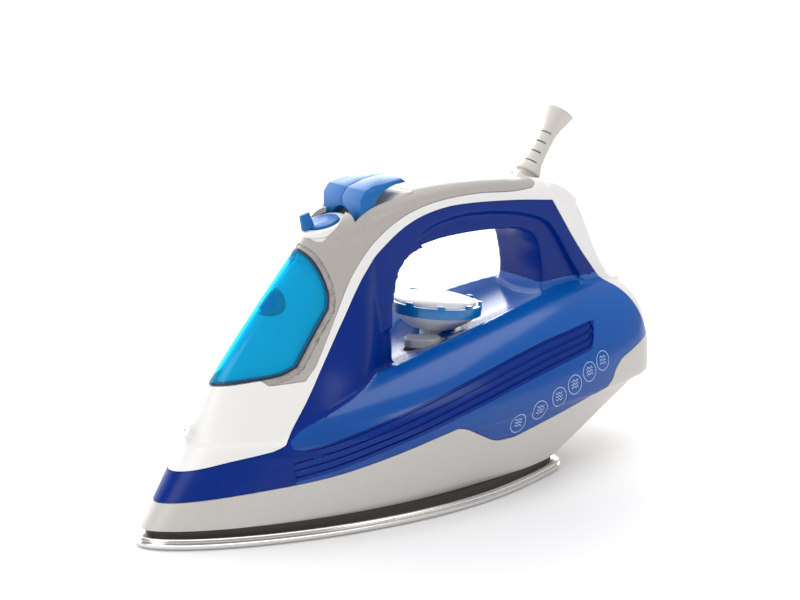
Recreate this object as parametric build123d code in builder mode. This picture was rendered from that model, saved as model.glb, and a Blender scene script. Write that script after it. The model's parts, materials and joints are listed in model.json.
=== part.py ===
"""Steam iron, modelled as the separate pieces that it comes apart into.

Millimetres. The nose points along -X, the heel along +X, +Z is up and the sole rests on Z = 0.
The iron is symmetric about Y = 0 apart from its buttons. Lengths called "back" are measured from
the sole's tip, and at() turns one into a place along X, so that X = 0 is the middle of the iron.
"""

import os
from math import cos, radians, sin

from build123d import *

os.makedirs("parts", exist_ok=True)

# ---------------------------------------------------------------- driving dimensions
LENGTH = 293.0  # sole tip to heel
SOLE_LENGTH = 225.0
SOLE_HALF_WIDTH = 57.0
PLATE = 5.3  # thickness of the soleplate
SKIRT_BOTTOM = 8.5
SPLIT = 45.0  # level where the flared lower body meets the tank
WALL = 2.4  # thickness of the mouldings
HALF_GRIP = 20.5  # half the handle's width
RUN_FIT = 0.05  # radial clearance of a shaft in its bore
GAP = 0.4  # clearance round a moving piece

DIAL_BACK, DIAL_TOP, DIAL_TILT = 172.0, 89.2, 6.0
DIAL_RADIUS, DIAL_RING, DIAL_BOWL = 24.5, 5.2, 8.0
GUARD_LEAN = 36.0  # the cord guard leans back from the vertical
GUARD_BACK, GUARD_FOOT, GUARD_LENGTH = 233.7, 148.2, 36.6
BALL_RADIUS, BALL_DEPTH = 8.0, 9.0
LEVER_BACK, LEVER_TOP, LEVER_LEAN = 104.5, 138.0, -16.0
HINGE_BACK, HINGE_HEIGHT = 92.6, 125.1
RAKE = 49.3  # the nose's face leans forward by this angle from the horizontal
INLET_BACK, INLET_HEIGHT = 70.5, 106.6
NOZZLE_BACK, NOZZLE_HEIGHT, NOZZLE_LEAN = 28.2, 49.9, -60.0
PUMP_BACK, PUMP_SIDE = 126.5, 7.6
VALVE_BACK = 103.0
TAB_BACK, TAB_SIDE, TAB_TURN = 156.6, -10.3, -37.0


def at(back):
    """The X of a place that far behind the sole's tip."""
    return back - LENGTH / 2


def place(points):
    """Side-view points given as (back, height), as (X, Z)."""
    return [(at(back), height) for back, height in points]


# ---------------------------------------------------------------- side-view seams
# Each seam is a chain of stretches of (back, height). Two points are a straight line, more are a
# smooth curve.
SKIRT_SEAM = [
    [(-5, 19), (10, 20), (46, 24), (81, 28), (108, 33.5), (143, 42.3)],
    [(143, 42.3), (148, 41), (158, 35.5), (168, 30.5), (180, 29.6)],
    [(180, 29.6), (245, 42.5)],
    [(245, 42.5), (249, 45.5), (252.5, 50.5), (258, 54.5)],
    [(258, 54.5), (300, 65)],
]
NOSE_SEAM = [
    [(-5, 32.5), (18, 33.2), (40, 38.5), (56, 42)],
    [(56, 42), (62, 44.8), (66, 49.5)],
    [(66, 49.5), (83, 70.5), (100, 95), (113, 114), (125, 126.5), (138, 135), (152, 139.8), (170, 141.8),
     (205, 140), (232, 137)],
]
REAR_SEAM = [
    [(232, 137), (250, 111.5), (266, 92)],
    [(266, 92), (276, 84), (283, 70), (287, 54), (289.5, 36)],
    [(289.5, 36), (289.5, 0)],
]
GRIP_SEAM = [
    [(50, 90), (57, 74)],
    [(57, 74), (62, 69.5)],
    [(62, 69.5), (78, 70.5)],
    [(78, 70.5), (84, 76.5)],
    [(84, 76.5), (91, 87.5), (99, 101), (107, 114.5), (116, 125.5), (127, 135), (141, 141.5), (158, 145),
     (182, 146), (205, 144.5), (219, 144.6)],
    [(219, 144.6), (223.5, 147), (219, 151), (206, 160)],
]
LID_SEAM = [
    [(30, 69), (42, 69.5), (55, 71.2), (68, 73), (76, 76.2)],
    [(76, 76.2), (95, 101)],
    [(95, 101), (96.3, 108), (95, 117), (92.5, 124.5), (89, 128.8)],
]
BAND_END = 64.0  # the blue band round the nose ends here, and the ribbed tank begins


def draw(seam):
    """Draws a seam in the current line and returns its two ends."""
    edges = [Line(*place(stretch)) if len(stretch) == 2 else Spline(*place(stretch)) for stretch in seam]
    return edges[0] @ 0, edges[-1] @ 1


def region(seam, closing):
    """Everything on one side of a seam: the seam and the closing points, pushed through in Y."""
    with BuildPart() as prism:
        with BuildSketch(Plane.XZ):
            with BuildLine():
                start, end = draw(seam)
                Polyline(end, *place(closing), start)
            make_face()
        extrude(amount=90, both=True)
    return prism.part


# ---------------------------------------------------------------- the outer form
def plan(front, wide, rear, width, rear_width, corner, bluff=0.3, run=0.5, bulge=0.08):
    """An iron's outline from above: pointed nose, widest place, square rear with rounded corners."""
    nose, middle, turn, end = at(front), at(wide), at(rear) - corner, at(rear)
    side = turn - middle
    shoulder = middle - run * (middle - nose)
    flank = Bezier((nose, 0), (nose, bluff * width), (shoulder, width), (middle, width))
    haunch = Bezier(
        (middle, width),
        (middle + 0.4 * side, width),
        (turn - 0.3 * side, rear_width + bulge * side),
        (turn, rear_width),
    )
    heel = Bezier(
        (turn, rear_width),
        (turn + 0.6 * corner, rear_width - 0.16 * corner),
        (end, rear_width - 0.45 * corner),
        (end, rear_width - corner),
    )
    Line((end, rear_width - corner), (end, 0))
    mirror(about=Plane.XZ)
    return flank, haunch, heel


def stacked(levels, **shape):
    """A loft through outlines at several heights."""
    with BuildPart() as form:
        for height, *dims in levels:
            with BuildSketch(Plane.XY.offset(height)):
                with BuildLine():
                    plan(*dims, **shape)
                make_face()
        loft()
    return form.part


SPLIT_PLAN = (25.5, 168, LENGTH, 57.5, 47.0, 20.0)


def inset_plan(inset):
    """The outline at the split, drawn in by a wall thickness."""
    front, wide, rear, width, rear_width, corner = SPLIT_PLAN
    return front + 1.4 * inset, wide, rear - inset, width - inset, rear_width - inset, corner


def lower_body(inset=0.0):
    """The skirt's flared form, which overhangs the sole as a ramp under the heel."""
    base = (2.5 + 1.4 * inset, 150, SOLE_LENGTH - inset, 50 - inset, 45.5 - inset, 14.0)
    return stacked([(SKIRT_BOTTOM, *base), (SPLIT, *inset_plan(inset))])


def split_width(back, inset):
    """Half the width of the split's outline at a place along the iron."""
    with BuildLine(mode=Mode.PRIVATE):
        curves = plan(*inset_plan(inset))
    curve = [c for c in curves if c.position_at(0).X <= at(back)][-1]
    low, high = 0.0, 1.0
    for _ in range(30):
        middle = (low + high) / 2
        if curve.position_at(middle).X < at(back):
            low = middle
        else:
            high = middle
    return curve.position_at(low).Y


TANK_TOPS = [
    (70, 57), (105, 67), (140, 76.5), (180, 84.5), (225, 91), (262, 92.5), (278, 92.5), (290, 92.5),
]
TANK_REAR = [[(272, 95), (280, 89.5), (286, 76), (290, 60), (292, 40)]]
VALLEY_RADIUS = 60.0
VALLEY = (at(125), 63.0), (at(235), 86.0)  # the lowest line of the deck, front to rear


def dial_plane(drop=0.0):
    """A plane square to the dial's axis, that far below the top of the dial ring."""
    tilt = radians(DIAL_TILT)
    origin = (at(DIAL_BACK) - drop * sin(tilt), 0, DIAL_TOP - drop * cos(tilt))
    return Plane(origin=origin, x_dir=(cos(tilt), 0, -sin(tilt)), z_dir=(sin(tilt), 0, cos(tilt)))


def upper_body(inset=0.0):
    """The water tank's shoulders, dished on top for the fingers, with a well for the dial."""
    with BuildPart() as form:
        for back, top in TANK_TOPS:
            width, height = split_width(back, inset), top - inset - SPLIT
            with BuildSketch(Plane.YZ.offset(at(back))):
                with BuildLine():
                    Bezier(
                        (width, SPLIT),
                        (width, SPLIT + 0.7 * height),
                        (0.62 * width, SPLIT + height),
                        (0, SPLIT + height),
                    )
                    mirror(about=Plane.YZ)
                    Line((width, SPLIT), (-width, SPLIT))
                make_face()
        loft()
        front, rear = Vector(VALLEY[0][0], 0, VALLEY[0][1]), Vector(VALLEY[1][0], 0, VALLEY[1][1])
        run = (rear - front).normalized()
        up = Vector(-run.Z, 0, run.X)
        start = front - run * 60 + up * VALLEY_RADIUS
        with BuildSketch(Plane(origin=start, x_dir=(0, 1, 0), z_dir=run)):
            Circle(VALLEY_RADIUS + inset)
        extrude(amount=260, mode=Mode.SUBTRACT)
        with BuildSketch(dial_plane(DIAL_RING + 1.2 + inset)):
            Circle(DIAL_RADIUS + 2 + inset)
        extrude(amount=60, mode=Mode.SUBTRACT)
        with BuildSketch(dial_plane(DIAL_RING + 1.2 + inset)):
            Circle(DIAL_RADIUS + 2 + inset)
        with BuildSketch(dial_plane(DIAL_RING + DIAL_BOWL + 1.0 + inset)):
            Circle(14 + inset)
        loft(mode=Mode.SUBTRACT)
    return form.part


NOSE_LEVELS = [
    (40, 23.6, 84, 118, 38.5),
    (60, 34.3, 98, 131, 32.5),
    (76, 44.8, 106, 134, 27.5),
    (104, 68.3, 112, 134.5, 22.0),
    (134, 95.5, 122, 138, 19.0),
]


def nose_column(inset=0.0):
    """The raked nose, which narrows upward into the front post of the handle."""
    levels = [
        (height, front + 1.4 * inset, wide, rear - inset, width - inset, 0.75 * (width - inset), 0.3 * width)
        for height, front, wide, rear, width in NOSE_LEVELS
    ]
    return stacked(levels, run=0.35)


CROWN_LINE = [(97, 135), (110, 142.5), (126, 147.8), (160, 151.8), (200, 150.8), (232, 147)]
BACK_LINE = [(252, 137), (259, 125), (270, 104), (284, 84)]
REAR_POST_LINE = [(229, 84), (229.5, 100), (226.5, 114)]
UNDER_GRIP_LINE = [(214, 123.5), (190, 125.6), (165, 125.2), (149, 123)]
FRONT_POST_LINE = [(134, 112), (131.5, 99), (131, 84)]


def drawn_in(points, inset):
    """Side-view points moved by inset to the right of the way they run."""
    moved = []
    for number, (back, height) in enumerate(points):
        before, after = points[max(number - 1, 0)], points[min(number + 1, len(points) - 1)]
        run = Vector(after[0] - before[0], after[1] - before[1]).normalized()
        moved.append((back + run.Y * inset, height - run.X * inset))
    return place(moved)


def handle_loop(inset=0.0):
    """The grip and its rear post, bent round the finger opening."""
    with BuildPart() as form:
        with BuildSketch(Plane.XZ):
            with BuildLine():
                crown = Spline(*drawn_in(CROWN_LINE, inset))
                back = Spline(*drawn_in(BACK_LINE, inset))
                Spline(crown @ 1, back @ 0, tangents=[crown % 1, back % 0])
                rear_post = Spline(*drawn_in(REAR_POST_LINE, inset))
                under_grip = Spline(*drawn_in(UNDER_GRIP_LINE, inset))
                Spline(rear_post @ 1, under_grip @ 0, tangents=[rear_post % 1, under_grip % 0])
                front_post = Spline(*drawn_in(FRONT_POST_LINE, inset))
                Spline(under_grip @ 1, front_post @ 0, tangents=[under_grip % 1, front_post % 0])
                Line(back @ 1, rear_post @ 0)
                Polyline(front_post @ 1, *place([(112 + inset, 84), (97 + inset, 120)]), crown @ 0)
            make_face()
        extrude(amount=40, both=True)
        with BuildSketch(Plane.XY.offset(80)):
            with BuildLine():
                width = HALF_GRIP - inset
                plan(93 + 1.4 * inset, 128, 292 - inset, width, width + 1, 4, bluff=0.5, bulge=0.0)
            make_face()
        extrude(amount=90, mode=Mode.INTERSECT)
    return form.part


def outer_form(inset=0.0):
    """The whole iron above the sole, as one solid, drawn in by inset."""
    behind_tank = region(TANK_REAR, [(330, 40), (330, 130), (272, 130)])
    upper = upper_body(inset) - Pos(-inset, 0, -0.4 * inset) * behind_tank
    return lower_body(inset) + upper + nose_column(inset) + handle_loop(inset)


outer = outer_form()
inner = outer_form(WALL)
shell = outer - inner
tank_form = lower_body() + upper_body()

below_skirt_seam = region(SKIRT_SEAM, [(320, 0), (320, -20), (-20, -20)])
ahead_of_nose_seam = region(NOSE_SEAM + REAR_SEAM, [(330, 0), (330, 190), (-30, 190)])
behind_rear_seam = region(REAR_SEAM, [(330, 0), (330, 190), (236, 190)])
above_grip_seam = region(GRIP_SEAM, [(120, 190), (60, 160), (0, 100)])
lid_closing = [(80, 145), (40, 120), (5, 80)]
lid_hole = region(LID_SEAM, lid_closing)
lid_zone = Pos(-1.25 * GAP, 0, 0.75 * GAP) * lid_hole


def tilted(back, height, lean, drop=0.0):
    """A plane whose normal leans back by lean degrees, set down along that normal by drop."""
    angle = radians(lean)
    origin = (at(back) - drop * sin(angle), 0, height - drop * cos(angle))
    return Plane(origin=origin, x_dir=(cos(angle), 0, -sin(angle)), z_dir=(sin(angle), 0, cos(angle)))


def finish(piece, name):
    """Names a finished piece and writes it."""
    piece.label = name
    export_step(piece, f"parts/{name}.step")


def rod(plane, radius, length, bore=0.0):
    """A round rod, or a tube if it has a bore, standing on a plane."""
    with BuildPart() as body:
        with BuildSketch(plane):
            Circle(radius)
            if bore:
                Circle(bore, mode=Mode.SUBTRACT)
        extrude(amount=length)
    return body.part


def cross_rod(back, height, radius, half_length):
    """A round rod that runs across the iron."""
    with BuildPart() as body:
        with BuildSketch(Plane.XZ):
            with Locations((at(back), height)):
                Circle(radius)
        extrude(amount=half_length, both=True)
    return body.part


def side_block(points, half_width):
    """A side-view outline pushed out to both sides."""
    with BuildPart() as body:
        with BuildSketch(Plane.XZ):
            with BuildLine():
                Polyline(*place(points), close=True)
            make_face()
        extrude(amount=half_width, both=True)
    return body.part


def box(back_range, half_width, height_range):
    """A block between two places along the iron and two heights."""
    (front, rear), (bottom, top) = back_range, height_range
    return side_block([(front, bottom), (rear, bottom), (rear, top), (front, top)], half_width)


# ---------------------------------------------------------------- sole
GASKET_TOP = SKIRT_BOTTOM
CASTING_TOP = 19.0
ELEMENT_RADIUS = 3.6
ELEMENT_SIDE = 23.0
ELEMENT_LEVEL = CASTING_TOP - ELEMENT_RADIUS
HOLE_RADIUS = 1.5
SOLE_SCREWS = [(at(52), 0), (at(207), -9), (at(207), 9)]
SCREW_RADIUS, SCREW_HOLE = 1.75, 1.8


def steam_holes():
    """The centres of the steam holes: two rows along the edges, and a cluster in the nose."""
    rows = [(52 + 17 * i, side * (21 + 13.5 * sin(radians(15 * i)))) for i in range(9) for side in (-1, 1)]
    nose_cluster = [(30, 0), (38, -8), (38, 8), (46, 0), (60, 0), (76, -7), (76, 7)]
    return [(at(back), across) for back, across in rows + nose_cluster]


with BuildPart() as soleplate:
    with BuildSketch():
        with BuildLine():
            plan(0, 152, SOLE_LENGTH, SOLE_HALF_WIDTH, 47.5, 12)
        make_face()
    extrude(amount=PLATE)
    fillet(soleplate.faces().sort_by(Axis.Z)[0].edges(), 1.6)
    fillet(soleplate.faces().sort_by(Axis.Z)[-1].edges(), 1.6)
    with Locations(*[(x, y, PLATE) for x, y in steam_holes()]):
        Hole(HOLE_RADIUS)
finish(soleplate.part, "soleplate")

with BuildPart() as sole_gasket:
    for amount, mode in ((3.4, Mode.ADD), (9.0, Mode.SUBTRACT)):
        with BuildSketch(Plane.XY.offset(PLATE)):
            with BuildLine():
                width = SOLE_HALF_WIDTH - amount
                plan(1.5 * amount, 152, SOLE_LENGTH - amount, width, 47.5 - amount, 12, bluff=0.27)
            make_face()
        extrude(amount=GASKET_TOP - PLATE, mode=mode)
finish(sole_gasket.part, "sole_gasket")


def element_path():
    """The heating element's line: down one side, round the nose and back up the other."""
    bend = at(62)
    first = Line((at(208), -ELEMENT_SIDE), (bend, -ELEMENT_SIDE))
    turn = ThreePointArc((bend, -ELEMENT_SIDE), (bend - ELEMENT_SIDE, 0), (bend, ELEMENT_SIDE))
    last = Line((bend, ELEMENT_SIDE), (at(208), ELEMENT_SIDE))
    return first, turn, last


with BuildPart() as sole_casting:
    for bottom, top, margin in ((PLATE, SKIRT_BOTTOM, 9.4), (SKIRT_BOTTOM, CASTING_TOP, 13.0)):
        with BuildSketch(Plane.XY.offset(bottom)):
            with BuildLine():
                width = SOLE_HALF_WIDTH - margin
                plan(1.9 * margin, 152, SOLE_LENGTH - margin, width, 47.5 - margin, 12)
            make_face()
        extrude(amount=top - bottom)
    with BuildSketch(Plane.XY.offset(CASTING_TOP)):
        with BuildLine():
            element_path()
        trace(line_width=2 * (ELEMENT_RADIUS + 0.3))
    extrude(amount=-2 * ELEMENT_RADIUS, mode=Mode.SUBTRACT)
    with BuildSketch(Plane.XY.offset(CASTING_TOP)):
        with Locations((at(132), 0)):
            RectangleRounded(132, 32, 12)
    extrude(amount=-8.0, mode=Mode.SUBTRACT)
    with BuildSketch(Plane.XY.offset(CASTING_TOP)):
        with Locations((at(212), -ELEMENT_SIDE), (at(212), ELEMENT_SIDE)):
            Rectangle(16, 3.6)
    extrude(amount=-ELEMENT_RADIUS - 1.8, mode=Mode.SUBTRACT)
    with Locations(*[(x, y, CASTING_TOP) for x, y in steam_holes()]):
        Hole(HOLE_RADIUS)
    with Locations(*[(x, y, CASTING_TOP) for x, y in SOLE_SCREWS]):
        Hole(SCREW_HOLE, depth=9)
finish(sole_casting.part, "sole_casting")

with BuildPart() as heating_element:
    with BuildLine(Plane.XY.offset(ELEMENT_LEVEL)) as element_line:
        element_path()
    with BuildSketch(Plane(origin=element_line.line @ 0, z_dir=element_line.line % 0)):
        Circle(ELEMENT_RADIUS)
    sweep()
finish(heating_element.part, "heating_element")

with BuildPart() as element_terminals:
    for side in (-1, 1):
        with BuildSketch(Plane(origin=(at(208), side * ELEMENT_SIDE, ELEMENT_LEVEL), z_dir=(1, 0, 0))):
            Circle(1.2)
        extrude(amount=9)
finish(element_terminals.part, "element_terminals")

COVER_PLATE = 1.5
with BuildPart() as chamber_seal:
    with BuildSketch(Plane.XY.offset(CASTING_TOP)):
        with Locations((at(132), 0)):
            RectangleRounded(138, 37, 14)
            RectangleRounded(131, 30, 11, mode=Mode.SUBTRACT)
    extrude(amount=0.8)
finish(chamber_seal.part, "chamber_seal")

CHAMBER_TOP = CASTING_TOP + 0.8 + COVER_PLATE
with BuildPart() as steam_chamber_cover:
    with BuildSketch(Plane.XY.offset(CASTING_TOP + 0.8)):
        with Locations((at(132), 0)):
            RectangleRounded(138, 37, 14)
    extrude(amount=COVER_PLATE)
    with Locations((at(VALVE_BACK), 0, CHAMBER_TOP)):
        Hole(2.2)
finish(steam_chamber_cover.part, "steam_chamber_cover")

# ---------------------------------------------------------------- mouldings
with BuildPart() as skirt:
    add(shell)
    add(below_skirt_seam, mode=Mode.INTERSECT)
    add(behind_rear_seam, mode=Mode.SUBTRACT)
finish(skirt.part, "skirt")

ball_plane = tilted(GUARD_BACK, GUARD_FOOT, GUARD_LEAN, drop=BALL_DEPTH)
TAB_LONG, TAB_WIDE, TAB_TOP, TAB_BOTTOM = 18.6, 11.0, 74.8, 70.2
CUP_WALL, CUP_FLOOR = 1.2, 64.5


def stadium(level, amount, grow=0.0):
    """The round-ended outline of the self-clean button, extruded up from a level."""
    turn = radians(TAB_TURN)
    plane = Plane(origin=(at(TAB_BACK), TAB_SIDE, level), x_dir=(cos(turn), sin(turn), 0), z_dir=(0, 0, 1))
    with BuildPart() as body:
        with BuildSketch(plane):
            SlotOverall(TAB_LONG + 2 * grow, TAB_WIDE + 2 * grow)
        extrude(amount=amount)
    return body.part


SLEEVE_RADIUS = 6.0
CORE_JOINT, TRIM_JOINT = 141.0, 118.0  # where the handle's mouldings plug into those of the nose
with BuildPart() as water_tank:
    add(tank_form)
    add(inner, mode=Mode.SUBTRACT)
    add(below_skirt_seam, mode=Mode.SUBTRACT)
    add(ahead_of_nose_seam, mode=Mode.SUBTRACT)
    add(nose_column(), mode=Mode.SUBTRACT)
    add(handle_loop(), mode=Mode.SUBTRACT)
    add(box((-20, BAND_END), 60, (0, 60)), mode=Mode.SUBTRACT)
    add(rod(dial_plane(30), SLEEVE_RADIUS, 60), mode=Mode.SUBTRACT)
    add(stadium(60, 30, grow=GAP + CUP_WALL), mode=Mode.SUBTRACT)
finish(water_tank.part, "water_tank")

with BuildPart() as body_shell:
    add(shell)
    add(below_skirt_seam, mode=Mode.SUBTRACT)
    add(ahead_of_nose_seam, mode=Mode.SUBTRACT)
    add(water_tank.part, mode=Mode.SUBTRACT)
    add(rod(dial_plane(30), SLEEVE_RADIUS, 60), mode=Mode.SUBTRACT)
    add(stadium(60, 30, grow=GAP + CUP_WALL), mode=Mode.SUBTRACT)
behind_core_joint = box((CORE_JOINT, 330), 90, (-20, 200))
finish(body_shell.part - behind_core_joint, "body_shell")
finish(body_shell.part & behind_core_joint, "handle_core")

BEZEL_RADIUS, BEZEL_THICK = 11.6, 3.4
lever_hole = rod(tilted(LEVER_BACK, LEVER_TOP, LEVER_LEAN, drop=6), BEZEL_RADIUS, 30)
nozzle_hole = rod(tilted(NOZZLE_BACK, NOZZLE_HEIGHT, NOZZLE_LEAN, drop=8), 4.0, 20)
hinge_notch = cross_rod(HINGE_BACK, HINGE_HEIGHT, 4.8, 8.5)
BUTTON_HALF_WIDTH = 15.5
POCKET = [(112, 131), (112, 165), (146, 165), (146, 149.6), (138, 147.2), (131, 142.2), (124.5, 131)]
button_pocket = side_block(POCKET, BUTTON_HALF_WIDTH + GAP)
SOCKET_RADIUS = 11.0
guard_hole = rod(ball_plane, SOCKET_RADIUS, 30)

with BuildPart() as nose_cover:
    add(shell)
    add(ahead_of_nose_seam, mode=Mode.INTERSECT)
    for cut in (behind_rear_seam, above_grip_seam, lid_hole, nozzle_hole, hinge_notch, lever_hole,
                button_pocket, guard_hole):
        add(cut, mode=Mode.SUBTRACT)
behind_trim_joint = box((TRIM_JOINT, 330), 90, (-20, 200))
finish(nose_cover.part - behind_trim_joint, "nose_cover")
finish(nose_cover.part & behind_trim_joint, "handle_trim")

with BuildPart() as grip_panel:
    add(shell)
    add(above_grip_seam, mode=Mode.INTERSECT)
    for cut in (behind_rear_seam, lid_hole, hinge_notch, lever_hole, button_pocket, guard_hole):
        add(cut, mode=Mode.SUBTRACT)
finish(grip_panel.part, "grip_panel")

SCREW_SIDE, SCREW_HEIGHT = 24.0, 62.0
with BuildPart() as rear_cover:
    add(shell)
    add(behind_rear_seam, mode=Mode.INTERSECT)
    add(guard_hole, mode=Mode.SUBTRACT)
    with BuildSketch(Plane.YZ.offset(at(270))):
        with Locations((-SCREW_SIDE, SCREW_HEIGHT), (SCREW_SIDE, SCREW_HEIGHT)):
            Circle(1.9)
    extrude(amount=40, mode=Mode.SUBTRACT)
finish(rear_cover.part, "rear_cover")

BASE_BOTTOM, BASE_TOP, BASE_REAR = 43.0, 45.0, 258.0
with BuildPart() as tank_base:
    add(inner)
    add(box((60, BASE_REAR), 60, (BASE_BOTTOM, BASE_TOP)), mode=Mode.INTERSECT)
    add(rod(dial_plane(60), SLEEVE_RADIUS, 60), mode=Mode.SUBTRACT)
    with Locations((at(VALVE_BACK), 0, BASE_TOP)):
        Hole(4.5)
    with Locations((at(TAB_BACK), TAB_SIDE, BASE_TOP)):
        Hole(2.4)
finish(tank_base.part, "tank_base")

with BuildPart() as rear_frame:
    add(inner)
    add(box((BASE_REAR, BASE_REAR + 2), 60, (SPLIT - 2, 88)), mode=Mode.INTERSECT)
    with BuildSketch(Plane.YZ.offset(at(BASE_REAR + 2))):
        with Locations((-SCREW_SIDE, SCREW_HEIGHT), (SCREW_SIDE, SCREW_HEIGHT)):
            Circle(4.0)
            Circle(1.3, mode=Mode.SUBTRACT)
    extrude(amount=24)
finish(rear_frame.part, "rear_frame")

with BuildPart() as rear_screws:
    with BuildSketch(Plane.YZ.offset(at(BASE_REAR + 8))):
        with Locations((-SCREW_SIDE, SCREW_HEIGHT), (SCREW_SIDE, SCREW_HEIGHT)):
            Circle(1.3)
    extrude(amount=22)
    with BuildSketch(Plane.YZ.offset(at(BASE_REAR + 30))):
        with Locations((-SCREW_SIDE, SCREW_HEIGHT), (SCREW_SIDE, SCREW_HEIGHT)):
            Circle(1.8)
    extrude(amount=2.0)
finish(rear_screws.part, "rear_screws")

# ---------------------------------------------------------------- fixing of the sole
STRAP_TOP = CASTING_TOP + 1.5
with BuildPart() as sole_straps:
    for front, rear in ((46, 58), (203, 211)):
        add(inner & box((front, rear), 60, (CASTING_TOP, STRAP_TOP)))
    with Locations(*[(x, y, STRAP_TOP) for x, y in SOLE_SCREWS]):
        Hole(SCREW_HOLE)
finish(sole_straps.part, "sole_straps")

with BuildPart() as sole_screws:
    for x, y in SOLE_SCREWS:
        with BuildSketch(Plane.XY.offset(STRAP_TOP)):
            with Locations((x, y)):
                Circle(3.2)
        extrude(amount=2)
        with BuildSketch(Plane.XY.offset(STRAP_TOP)):
            with Locations((x, y)):
                Circle(SCREW_RADIUS)
        extrude(amount=-9)
finish(sole_screws.part, "sole_screws")

# ---------------------------------------------------------------- water lid and inlet
face_lean = -RAKE
RING_DEPTH, RING_OUTER, RING_INNER = 7.4, 7.6, 5.6


def inlet(depth):
    """A plane square to the water inlet, that far below the nose's surface."""
    return tilted(INLET_BACK, INLET_HEIGHT, face_lean, drop=depth)


KNUCKLE, EAR, PIN = 1.5, 1.35, 0.8
neck = box((HINGE_BACK - 6, HINGE_BACK + 0.4), 1.5, (HINGE_HEIGHT, HINGE_HEIGHT + 1.4))
with BuildPart() as water_lid:
    add(nose_column() - nose_column(1.8))
    add(lid_zone, mode=Mode.INTERSECT)
    add(cross_rod(HINGE_BACK, HINGE_HEIGHT, EAR + GAP, 3.6), mode=Mode.SUBTRACT)
    add(cross_rod(HINGE_BACK, HINGE_HEIGHT, KNUCKLE, 1.5))
    add(neck & nose_column(1.0))
    add(cross_rod(HINGE_BACK, HINGE_HEIGHT, PIN + RUN_FIT, 10), mode=Mode.SUBTRACT)
finish(water_lid.part, "water_lid")

with BuildPart() as lid_plug:
    add(rod(inlet(RING_DEPTH + 1.0), 5.2, RING_DEPTH))
    add(nose_column(1.8), mode=Mode.INTERSECT)
finish(lid_plug.part, "lid_plug")

with BuildPart() as inlet_tray:
    add(nose_column(2.8) - nose_column(4.4))
    add(lid_hole, mode=Mode.INTERSECT)
    add(rod(inlet(20), 9.0, 30), mode=Mode.SUBTRACT)
    for side in (-1, 1):
        add(Pos(0, side * 2.6, 0) * cross_rod(HINGE_BACK, HINGE_HEIGHT, EAR, 0.7))
        foot = box((HINGE_BACK - 1.2, HINGE_BACK + 1.2), 0.7, (HINGE_HEIGHT - 7, HINGE_HEIGHT))
        add(Pos(0, side * 2.6, 0) * foot)
    add(cross_rod(HINGE_BACK, HINGE_HEIGHT, KNUCKLE + GAP, 1.9), mode=Mode.SUBTRACT)
    add(cross_rod(HINGE_BACK, HINGE_HEIGHT, PIN, 10), mode=Mode.SUBTRACT)
    neck_room = box((HINGE_BACK - 8, HINGE_BACK + 0.8), 1.9, (HINGE_HEIGHT - 0.6, HINGE_HEIGHT + 5))
    add(neck_room, mode=Mode.SUBTRACT)
finish(inlet_tray.part, "inlet_tray")

finish(cross_rod(HINGE_BACK, HINGE_HEIGHT, PIN, 3.3), "lid_hinge_pin")

with BuildPart() as inlet_duct:
    add(rod(inlet(34), 9.0, 32, bore=RING_INNER))
    add(nose_column(2.8), mode=Mode.INTERSECT)
    add(rod(inlet(RING_DEPTH + 2.4), RING_OUTER, 30), mode=Mode.SUBTRACT)
    add(rod(Plane(origin=(at(VALVE_BACK), 0, 40)), 2.5, 100), mode=Mode.SUBTRACT)
finish(inlet_duct.part, "inlet_duct")

finish(rod(inlet(RING_DEPTH + 2.4), RING_OUTER, 2.4, bore=RING_INNER), "inlet_seal")

# ---------------------------------------------------------------- spray nozzle
with BuildPart() as spray_nozzle:
    add(rod(tilted(NOZZLE_BACK, NOZZLE_HEIGHT, NOZZLE_LEAN, drop=7), 4.0, 9.0))
    fillet(spray_nozzle.faces().sort_by(Axis.X)[0].edges(), 1.2)
    add(rod(tilted(NOZZLE_BACK, NOZZLE_HEIGHT, NOZZLE_LEAN, drop=8), 0.5, 20), mode=Mode.SUBTRACT)
finish(spray_nozzle.part, "spray_nozzle")

# ---------------------------------------------------------------- steam lever and valve
LEVER_DISC, LEVER_SHAFT = 7.8, 3.0


def lever_plane(drop):
    """A plane square to the lever's axis, that far below the top of its bezel."""
    return tilted(LEVER_BACK, LEVER_TOP, LEVER_LEAN, drop=drop)


with BuildPart() as lever_bezel:
    add(rod(lever_plane(BEZEL_THICK), BEZEL_RADIUS, BEZEL_THICK))
    add(rod(lever_plane(1.6), LEVER_DISC + GAP, 10), mode=Mode.SUBTRACT)
    add(rod(lever_plane(10), LEVER_SHAFT + RUN_FIT, 20), mode=Mode.SUBTRACT)
finish(lever_bezel.part, "lever_bezel")

with BuildPart() as steam_lever:
    add(rod(lever_plane(1.2), LEVER_DISC, 2.2))
    add(rod(lever_plane(9.0), LEVER_SHAFT, 9.0))
    with BuildSketch(lever_plane(-0.6)):
        with Locations((-8.6, 0)):
            RectangleRounded(6.8, 3.6, 1.6)
    extrude(amount=7.4, taper=6)
finish(steam_lever.part, "steam_lever")

VALVE_TOP = 124.0
with BuildPart() as valve_rod:
    with BuildSketch(Plane.XY.offset(CHAMBER_TOP + 4)):
        with Locations((at(VALVE_BACK), 0)):
            Circle(1.5)
    extrude(amount=VALVE_TOP - CHAMBER_TOP - 4)
    with BuildSketch(Plane.XY.offset(CHAMBER_TOP + 2)):
        with Locations((at(VALVE_BACK), 0)):
            Circle(0.5)
    with BuildSketch(Plane.XY.offset(CHAMBER_TOP + 4)):
        with Locations((at(VALVE_BACK), 0)):
            Circle(1.5)
    loft()
    add(cross_rod(VALVE_BACK, CHAMBER_TOP + 6, 0.5, 4), mode=Mode.SUBTRACT)
finish(valve_rod.part, "valve_rod")

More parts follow.
